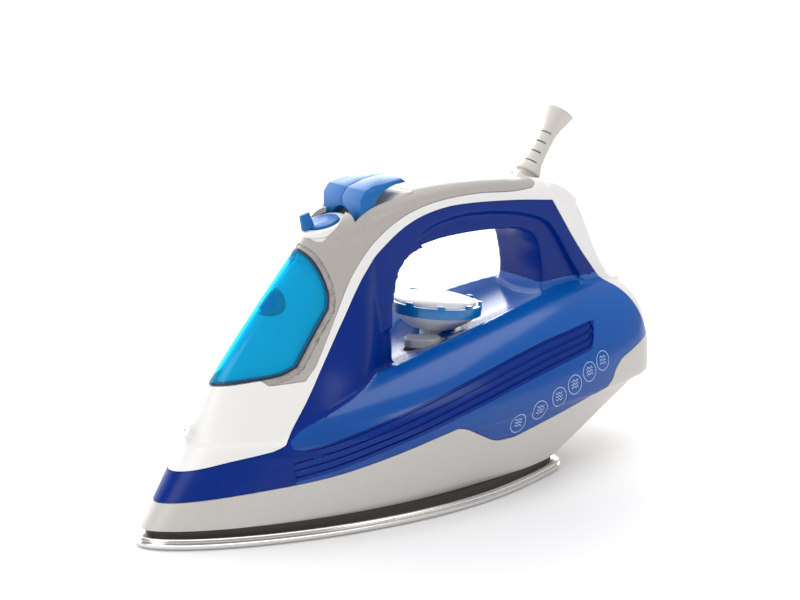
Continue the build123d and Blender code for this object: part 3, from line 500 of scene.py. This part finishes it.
# the tank stops short of the nose's and the handle's feet, and under the handle's line
POST_MARGIN = 0.9
for post in posts:
    bake(post, ("DISPLACE", {"strength": POST_MARGIN * MM, "mid_level": 0.0}))
HANDLE_LINE = [(60, 80), (150, 80), (180, 86.6), (225, 93), (262, 94.4), (310, 94.4)]
handle_zone = prism("handle_zone", HANDLE_LINE + [(310, 190), (60, 190)], -90, 90)
cut(tank, *posts, handle_zone)
band_box = prism("band_box", [(-20, 0), (64, 0), (64, 60), (-20, 60)], -90, 90)
sleeve = lathe("sleeve", [(6, -60), (6, 0)], dial_top, dial_axis, closed=False)

# room for the self-clean button's cup, a turned slot with round ends
CUP_BACK, CUP_SIDE, CUP_RADIUS, CUP_REACH = 156.6, -10.3, 7.1, 3.8
turn = math.radians(-37)
ends = []
for centre, start in ((CUP_REACH, -math.pi / 2), (-CUP_REACH, math.pi / 2)):
    for a in np.linspace(start, start + math.pi, 17):
        u, v = centre + CUP_RADIUS * math.cos(a), CUP_RADIUS * math.sin(a)
        ends.append((at(CUP_BACK) + u * math.cos(turn) - v * math.sin(turn),
                     CUP_SIDE + u * math.sin(turn) + v * math.cos(turn)))
cup_room = skin("cup_room", [[(x, y, z) for x, y in ends] for z in (60, 90)])
cut(tank, band_box, sleeve, cup_room)
cut(blue, tank, sleeve, cup_room)
drop(below_skirt, ahead_of_nose, behind_rear, above_grip, rim_zone, rim_tool, band_box, sleeve,
     lever_hole, nozzle_hole, guard_hole, handle_zone, cup_room, *posts)

# the lid, and a near-black strip along its edge, painted shade of the gap round the lid
lid_zone = prism("lid_zone", sideways(chain(LID_SEAM), 0.55) + [(68, 150), (18, 120), (3, 80)], -90, 90)
lid = cut(twin(lid_wall, "lid_shell"), lid_zone, operation="INTERSECT")
# the strip's outline: painted shade along the lid's edge
edge_shade_zone = prism("edge_shade_zone", sideways(chain(LID_SEAM), 1.5) + [(67, 151), (17, 121), (2, 81)], -90, 90)
lid_edge_shade = cut(twin(lid, "lid_edge_shade"), edge_shade_zone)
cut(lid, edge_shade_zone, operation="INTERSECT")


def round_hinge(radius):
    """A round cutter about the lid's hinge."""
    outline = [(92.6 + radius * math.cos(a), 125.1 + radius * math.sin(a)) for a in np.linspace(0, 6.2, 48)]
    return prism("round_zone", outline, -40, 40)


# the lid's top strip stays on the body, so that the lid clears the grip as it opens
STRIP_RADIUS, STRIP_GAP = 5.8, 0.2
strip_zone, swing_zone = round_hinge(STRIP_RADIUS), round_hinge(STRIP_RADIUS + STRIP_GAP)
strips = [cut(twin(o, o.name + "_top"), strip_zone, operation="INTERSECT") for o in (lid, lid_edge_shade)]
for o in (lid, lid_edge_shade):
    cut(o, swing_zone)
drop(lid_zone, edge_shade_zone, lid_hole, pocket, strip_zone, swing_zone)

# the tank's side: a ribbed band, with a plain panel under it
band_zone = prism("band_zone", chain(RIB_TOP) + chain(RIB_LOW)[::-1][1:], -90, 90)
band = cut(twin(tank, "rib_band"), band_zone, operation="INTERSECT")
cut(tank, band_zone)
drop(band_zone)
top_line, low_line = np.array(chain(RIB_TOP)), np.array(chain(RIB_LOW))


def between(share):
    """A side-view line that share of the way down from the band's top edge to its bottom edge."""
    span = np.linspace(61, 240, 90)
    high = np.interp(span, top_line[:, 0], top_line[:, 1])
    low = np.interp(span, low_line[:, 0], low_line[:, 1])
    return [(b, h + (l - h) * share) for b, h, l in zip(span, high, low)]


# each groove is cut down to the body's own form, shifted in by the groove's depth
GROOVE_DEPTH, HALF_GROOVE = 0.9, 0.6
for side in (-1, 1):
    core = twin(body, "core")
    core.data.transform(Matrix.Translation((0, -side * GROOVE_DEPTH * MM, 0)))
    for share in (0.06, 0.33, 0.58, 0.83):
        line = between(share)
        edges = sideways(line, HALF_GROOVE) + sideways(line, -HALF_GROOVE)[::-1]
        groove = prism("groove", edges, min(0, 90 * side), max(0, 90 * side))
        cut(groove, core)
        cut(band, groove)
        drop(groove)
    drop(core)
drop(inner, shallow, lid_inner, shell, lid_wall, skin_deep)


# ------------------------------------------------------------------ materials
def shader(name, colour, rough=0.3, coat=0.0, metal=0.0, speckle=0.02, grain=600.0, bump=0.0, shift=None,
           spec=0.5):
    """A Principled material whose colour and roughness vary a little, by noise.

    shift is (axis, low, high, colour): the colour turns to that one between two places along an axis.
    """
    mat = bpy.data.materials.new(name)
    mat.use_nodes = True
    tree = mat.node_tree
    b = tree.nodes["Principled BSDF"]
    coords = tree.nodes.new("ShaderNodeTexCoord")
    noise = tree.nodes.new("ShaderNodeTexNoise")
    noise.inputs["Scale"].default_value = grain
    noise.inputs["Detail"].default_value = 3.0
    tree.links.new(coords.outputs["Object"], noise.inputs["Vector"])
    ramp = tree.nodes.new("ShaderNodeValToRGB")
    ramp.color_ramp.elements[0].position, ramp.color_ramp.elements[1].position = 0.3, 0.7
    ramp.color_ramp.elements[0].color = (*[c * (1 - speckle) for c in colour], 1)
    ramp.color_ramp.elements[1].color = (*[min(1, c * (1 + speckle)) for c in colour], 1)
    tree.links.new(noise.outputs["Fac"], ramp.inputs["Fac"])
    out = ramp.outputs["Color"]
    if shift:
        axis, low, high, second = shift
        split = tree.nodes.new("ShaderNodeSeparateXYZ")
        tree.links.new(coords.outputs["Object"], split.inputs["Vector"])
        span = tree.nodes.new("ShaderNodeMapRange")
        span.inputs["From Min"].default_value = low
        span.inputs["From Max"].default_value = high
        tree.links.new(split.outputs[axis], span.inputs["Value"])
        mix = tree.nodes.new("ShaderNodeMix")
        mix.data_type = "RGBA"
        tree.links.new(span.outputs["Result"], mix.inputs["Factor"])
        tree.links.new(out, mix.inputs[6])
        mix.inputs[7].default_value = (*second, 1)
        out = mix.outputs[2]
    tree.links.new(out, b.inputs["Base Color"])
    rng = tree.nodes.new("ShaderNodeMapRange")
    rng.inputs["To Min"].default_value = rough * 0.95
    rng.inputs["To Max"].default_value = min(1.0, rough * 1.05)
    tree.links.new(noise.outputs["Fac"], rng.inputs["Value"])
    tree.links.new(rng.outputs["Result"], b.inputs["Roughness"])
    b.inputs["Metallic"].default_value = metal
    b.inputs["Coat Weight"].default_value = coat
    b.inputs["Coat Roughness"].default_value = 0.08
    b.inputs["Specular IOR Level"].default_value = spec
    if bump:
        bn = tree.nodes.new("ShaderNodeBump")
        bn.inputs["Strength"].default_value = bump
        bn.inputs["Distance"].default_value = 0.0002
        tree.links.new(noise.outputs["Fac"], bn.inputs["Height"])
        tree.links.new(bn.outputs["Normal"], b.inputs["Normal"])
    return mat


def tinted(name, tint, colour, share):
    """A see-through moulding: light passes it tinted, and a share of it shows the surface's own colour."""
    mat = shader(name, colour, 0.12, coat=0.6, speckle=0.04, grain=120)
    tree = mat.node_tree
    b, out = tree.nodes["Principled BSDF"], tree.nodes["Material Output"]
    clear = tree.nodes.new("ShaderNodeBsdfTransparent")
    clear.inputs["Color"].default_value = (*tint, 1)
    mix = tree.nodes.new("ShaderNodeMixShader")
    mix.inputs[0].default_value = share
    tree.links.new(clear.outputs[0], mix.inputs[1])
    tree.links.new(b.outputs[0], mix.inputs[2])
    tree.links.new(mix.outputs[0], out.inputs["Surface"])
    return mat


WHITE = shader("white_gloss", (0.84, 0.83, 0.82), 0.34, coat=0.2, speckle=0.006, grain=40)
TAUPE = shader("taupe_satin", (0.43, 0.40, 0.375), 0.38, coat=0.1, speckle=0.03, bump=0.05)
SKIRT = shader("warm_grey_satin", (0.55, 0.525, 0.50), 0.36, coat=0.15, speckle=0.02, bump=0.04)
ROYAL = shader("royal_blue_gloss", (0.0, 0.022, 0.21), 0.24, coat=0.04, speckle=0.05, grain=200, spec=0.16)
# the tank's blue turns lighter towards the top: painted light from above, the sky's reflection on the
# upward-facing deck
TANK = shader("tank_blue_painted_top_light", (0.0, 0.058, 0.30), 0.20, coat=0.15, speckle=0.06, grain=90, spec=0.35,
              shift=("Z", 0.040, 0.090, (0.0, 0.10, 0.43)))
BAND = shader("band_blue_gloss", (0.0, 0.024, 0.23), 0.24, coat=0.06, speckle=0.05, grain=200, spec=0.2)
LID = tinted("lid_blue_clear", (0.10, 0.90, 1.0), (0.0, 0.42, 0.78), 0.26)
# near-black, painted shade of the gap round the lid's edge
PAINTED_EDGE_SHADE = shader("painted_edge_shade", (0.012, 0.02, 0.06), 0.35, speckle=0.1)
BUTTON = shader("button_blue", (0.004, 0.135, 0.42), 0.36, coat=0.05, speckle=0.03, spec=0.3)
RING = shader("dial_blue", (0.0, 0.17, 0.47), 0.25, coat=0.4, speckle=0.03)
CREAM = shader("cream_satin", (0.60, 0.575, 0.53), 0.42, speckle=0.02, bump=0.05)
PALE = shader("pale_grey", (0.50, 0.51, 0.51), 0.40, speckle=0.02)
CHROME = shader("polished_steel", (0.72, 0.70, 0.68), 0.16, metal=1.0, speckle=0.03, grain=900)
RUBBER = shader("dark_gasket", (0.020, 0.015, 0.012), 0.45, speckle=0.15)
STEEL = shader("plain_steel", (0.5, 0.5, 0.5), 0.3, metal=1.0, speckle=0.05)
ALU = shader("cast_aluminium", (0.55, 0.55, 0.55), 0.5, metal=1.0, speckle=0.1, bump=0.2)
BRASS = shader("brass", (0.6, 0.42, 0.15), 0.3, metal=1.0, speckle=0.05)
INNER = shader("inner_white", (0.70, 0.72, 0.74), 0.4, speckle=0.02)
PLUG = shader("plug_blue", (0.0, 0.07, 0.30), 0.3, speckle=0.05)
INK = shader("printed_white", (0.42, 0.56, 0.78), 0.4, speckle=0.02)


def wear(obj, mat, body_name=None, angle=40):
    """Gives a mesh its material and shading, and its body where it has one."""
    obj.data.materials.clear()
    obj.data.materials.append(mat)
    for face in obj.data.polygons:
        face.material_index = 0
    smooth(obj, angle)
    if body_name:
        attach(obj, body_name)
    return obj


for o, mat, slot, shown in (
    (skirt, SKIRT, "warm_grey_plastic", ("skirt",)),
    (rear, WHITE, "white_plastic", ("rear_cover",)),
    (white, WHITE, "white_plastic", ("nose_cover", "handle_trim")),
    (grip, TAUPE, "taupe_plastic", ("grip_panel",)),
    (blue, ROYAL, "royal_blue_plastic", ("body_shell", "handle_core")),
    (tank, TANK, "tank_blue_plastic", ("water_tank",)),
):
    wear(o, mat, "iron_body", 32)
    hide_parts(*shown)
wear(band, BAND, "iron_body", 32)
wear(lid, LID, "lid", 32)
# the strip along the lid's edge is painted shade
wear(lid_edge_shade, PAINTED_EDGE_SHADE, "lid", 32)
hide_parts("water_lid")
# the top strips keep the lid's tint and the painted edge shade
for strip, mat in zip(strips, (LID, PAINTED_EDGE_SHADE)):
    wear(strip, mat, "iron_body", 32)
drop(body)

FINISHES = {
    CHROME: ("soleplate",),
    RUBBER: ("sole_gasket", "chamber_seal", "inlet_seal", "inner_leads", "spray_hose"),
    ALU: ("sole_casting", "steam_chamber_cover"),
    STEEL: ("sole_straps", "sole_screws", "rear_screws", "heating_element", "element_terminals",
            "lid_hinge_pin", "burst_spring", "spray_spring", "self_clean_spring", "thermostat", "thermal_fuse"),
    BRASS: ("valve_rod", "valve_seat"),
    WHITE: ("dial_cap", "dial_bowl", "lever_bezel", "spray_nozzle"),
    CREAM: ("button_frame", "cord_guard", "cord_ball", "cord_socket"),
    BUTTON: ("burst_button", "spray_button", "steam_lever"),
    RING: ("dial_ring",),
    PALE: ("self_clean_button", "self_clean_cup"),
    PLUG: ("lid_plug",),
    INNER: ("tank_base", "rear_frame", "inlet_tray", "inlet_duct", "burst_barrel", "spray_barrel", "burst_piston",
            "spray_piston", "dial_shaft", "dial_sleeve", "self_clean_rod", "terminal_block", "cord_clamp"),
}
for mat, names in FINISHES.items():
    for n in names:
        mesh = nodes[n].data
        mesh.materials.clear()
        mesh.materials.append(mat)


def dress(node, mat, width):
    """A copy of a CAD node with its edges rounded, shown in place of it."""
    copy = twin(nodes[node], node + "_shown")
    copy.data.materials.clear()
    bm = bmesh.new()
    bm.from_mesh(copy.data)
    bmesh.ops.remove_doubles(bm, verts=bm.verts, dist=1e-6)
    bmesh.ops.dissolve_limit(bm, angle_limit=math.radians(1.0), verts=bm.verts, edges=bm.edges)
    bm.to_mesh(copy.data)
    bm.free()
    bake(copy, ("BEVEL", {"width": width * MM, "segments": 3, "limit_method": "ANGLE",
                          "angle_limit": math.radians(35), "harden_normals": False, "use_clamp_overlap": True}))
    wear(copy, mat, nodes[node]["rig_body"], 50)
    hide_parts(node)
    return copy


for node, mat, slot, width in (
    ("burst_button", BUTTON, "button_blue_plastic", 1.0),
    ("spray_button", BUTTON, "button_blue_plastic", 1.0),
    ("steam_lever", BUTTON, "button_blue_plastic", 0.6),
    ("self_clean_button", PALE, "pale_grey_plastic", 0.8),
    ("button_frame", CREAM, "white_plastic", 0.5),
    ("lever_bezel", WHITE, "white_plastic", 0.7),
    ("dial_ring", RING, "dial_blue_plastic", 0.5),
    ("dial_bowl", WHITE, "white_plastic", 0.6),
    ("dial_cap", WHITE, "white_plastic", 1.2),
    ("spray_nozzle", WHITE, "white_plastic", 0.4),
):
    dress(node, mat, width)

# each return spring is shown by a steel copy with its own mesh, in place of the CAD node
for spring, slide, foot_height, share in (
    ("burst_spring", "burst_slide", 102.1, 0.78),
    ("spray_spring", "spray_slide", 102.1, 0.78),
    ("self_clean_spring", "self_clean_slide", 66.05, 0.5),
):
    coil = twin(nodes[spring], spring + "_shown")
    wear(coil, STEEL, nodes[spring]["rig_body"], 50)
    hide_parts(spring)
    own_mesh(coil)

# a collar fills the gap under the lever's bezel
lever_back, lever_height, lever_lean = LEVER
lever_axis = Vector((math.sin(math.radians(lever_lean)), 0, math.cos(math.radians(lever_lean))))
COLLAR_INSIDE, COLLAR_OUTSIDE, COLLAR_FOOT, COLLAR_TOP = 8.6, 11.45, -8.5, -3.45
collar = lathe(
    "collar",
    [(COLLAR_INSIDE, COLLAR_FOOT), (COLLAR_OUTSIDE, COLLAR_FOOT), (COLLAR_OUTSIDE, COLLAR_TOP),
     (COLLAR_INSIDE, COLLAR_TOP)],
    (at(lever_back), 0, lever_height),
    lever_axis,
)
wear(collar, WHITE, "iron_body", 40)

# the soleplate's edge: two polished beads with a groove between them
BEADS = [(0, 2.4), (0.3, 1.1), (1.0, 0.25), (1.9, 0), (2.5, 0.15), (2.9, 0.9), (3.2, 1.3), (3.5, 0.9),
         (3.9, 0.5), (4.5, 0.6), (5.0, 1.2), (5.3, 2.2)]
sole_rings = []
for height, inset in BEADS:
    outline = plan(inset, 152, 225 - inset, 57 - inset, 47.5 - inset, 12, fine=3)
    sole_rings.append([(x, y, height) for x, y in outline])
sole = skin("sole_shown", sole_rings)
steam_holes = [(52 + 17 * i, side * (21 + 13.5 * math.sin(math.radians(15 * i))))
               for i in range(9) for side in (-1, 1)]
steam_holes += [(30, 0), (38, -8), (38, 8), (46, 0), (60, 0), (76, -7), (76, 7)]
for back, y in steam_holes:
    drill = lathe("drill", [(1.5, -1), (1.5, 7)], (at(back), y, 0), (0, 0, 1), segments=24, closed=False)
    cut(sole, drill)
    drop(drill)
wear(sole, CHROME, "iron_body", 40)
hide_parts("soleplate")

# the cord guard is cut across from the front and the back in turn
BOX_FACES = [(0, 1, 3, 2), (4, 6, 7, 5), (0, 4, 5, 1), (2, 3, 7, 6), (0, 2, 6, 4), (1, 5, 7, 3)]
SLOTS, FIRST_SLOT, SLOT_PITCH, HALF_SLOT, WEB, SLOT_REACH = 8, 13.2, 2.9, 0.45, 1.4, 12
guard_back, guard_height, guard_lean = GUARD
lean = math.radians(guard_lean)
along = Vector((math.sin(lean), 0, math.cos(lean)))
across = Vector((math.cos(lean), 0, -math.sin(lean)))
foot = Vector((at(guard_back), 0, guard_height)) - along * 8
guard = dress("cord_guard", CREAM, 0.3)
for k in range(SLOTS):
    middle = foot + along * (FIRST_SLOT + SLOT_PITCH * k)
    sides = (WEB, SLOT_REACH) if k % 2 else (-SLOT_REACH, -WEB)
    box = [middle + along * a + across * b + Vector((0, c, 0))
           for a in (-HALF_SLOT, HALF_SLOT) for b in sides for c in (-SLOT_REACH, SLOT_REACH)]
    slot_cut = mesh_object("slot", [tuple(v) for v in box], BOX_FACES)
    cut(guard, slot_cut)
    drop(slot_cut)
# the cut faces take the guard's material too
guard.data.materials.clear()
guard.data.materials.append(CREAM)

# a row of printed circles on the tank's lower panel, each with a plain mark in it
tree = BVHTree.FromObject(tank, bpy.context.evaluated_depsgraph_get())


def printed(name, line, width):
    """A printed stroke on the tank's near side, along a side-view line of (back, height)."""
    edge_a, edge_b = sideways(line, width / 2), sideways(line, -width / 2)
    verts = []
    for back, height in edge_a + edge_b:
        spot, normal, _, _ = tree.ray_cast(Vector((at(back) * MM, -0.2, height * MM)), Vector((0, 1, 0)))
        if spot is None:
            return None
        verts.append(tuple((spot + normal * 0.00003) / MM))
    n = len(line)
    return mesh_object(name, verts, [(i, i + 1, n + i + 1, n + i) for i in range(n - 1)])


def arc(back, height, radius):
    """A full circle as a side-view line."""
    turns = np.linspace(0.0, 2 * math.pi, 40)
    return [(back + radius * math.cos(t), height + radius * math.sin(t)) for t in turns]


CIRCLE_PLACES = [(181, 36.8), (194.5, 41), (207.5, 45.2), (219, 49.2), (230.5, 53.4), (241.5, 56.8)]
CIRCLE_RADIUS, STROKE = 4.9, 0.36
for k, (back, height) in enumerate(CIRCLE_PLACES):
    strokes = [arc(back, height, CIRCLE_RADIUS)]
    for lift in (-1.2, 0.4, 2.0):
        strokes.append([(back - 2.4 + 0.3 * i, height + lift + 0.5 * math.sin(0.8 * i + k))
                        for i in range(17)])
    for line in strokes:
        mark = printed("printed", line, STROKE)
        if mark:
            wear(mark, INK, "iron_body")

# ------------------------------------------------------------------ camera, light and floor
AZ, EL, FAR = math.radians(-36.97), math.radians(15.02), 0.750
target = Vector((0.00372, 0.0, 0.09259))
eye = target + Vector((math.sin(AZ) * math.cos(EL), -math.cos(AZ) * math.cos(EL), math.sin(EL))) * FAR
camera_data = bpy.data.cameras.new("camera")
camera_data.lens, camera_data.sensor_width = 67.67, 36.0
camera = bpy.data.objects.new("camera", camera_data)
camera.location = eye
camera.rotation_euler = (target - eye).to_track_quat("-Z", "Y").to_euler()
scene.collection.objects.link(camera)
scene.camera = camera


def lamp(name, place, aim, size, power, colour=(1, 1, 1)):
    data = bpy.data.lights.new(name, "AREA")
    data.shape, data.size, data.size_y, data.energy, data.color = "RECTANGLE", size[0], size[1], power, colour
    obj = bpy.data.objects.new(name, data)
    obj.location = place
    obj.rotation_euler = (Vector(aim) - Vector(place)).to_track_quat("-Z", "Y").to_euler()
    scene.collection.objects.link(obj)


lamp("overhead", (0.1, 0.15, 1.3), (0, 0, 0.05), (1.5, 1.0), 9)
lamp("left", (-1.4, -0.5, 0.8), (0, 0, 0.08), (0.5, 0.9), 4.5)
lamp("front", (0.5, -1.6, 1.0), (0, 0, 0.08), (0.9, 0.5), 4.5)
lamp("behind", (0.9, 1.0, 0.6), (0, 0, 0.1), (0.8, 0.8), 5)
world = bpy.data.worlds.new("studio")
world.use_nodes = True
world.node_tree.nodes["Background"].inputs["Color"].default_value = (1, 1, 1, 1)
world.node_tree.nodes["Background"].inputs["Strength"].default_value = 0.5
scene.world = world
scene.view_settings.view_transform = "Standard"
ground = mesh_object(
    "floor", [(-5000, -3000, 0), (5000, -3000, 0), (5000, 3000, 0), (-5000, 3000, 0)], [(0, 1, 2, 3)]
)
ground.location.z = -0.00002
wear(ground, shader("white_paper", (0.93, 0.93, 0.93), 0.8, speckle=0.003, spec=0.1))
wall = mesh_object(
    "backdrop", [(-6000, 2900, -10), (6000, 2900, -10), (6000, 2900, 3500), (-6000, 2900, 3500)], [(0, 1, 2, 3)]
)
glow = shader("backdrop_glow", (0.9, 0.9, 0.9), 0.9, speckle=0.003, spec=0.0)
glow.node_tree.nodes["Principled BSDF"].inputs["Emission Color"].default_value = (1, 1, 1, 1)
glow.node_tree.nodes["Principled BSDF"].inputs["Emission Strength"].default_value = 2.0
wear(wall, glow)
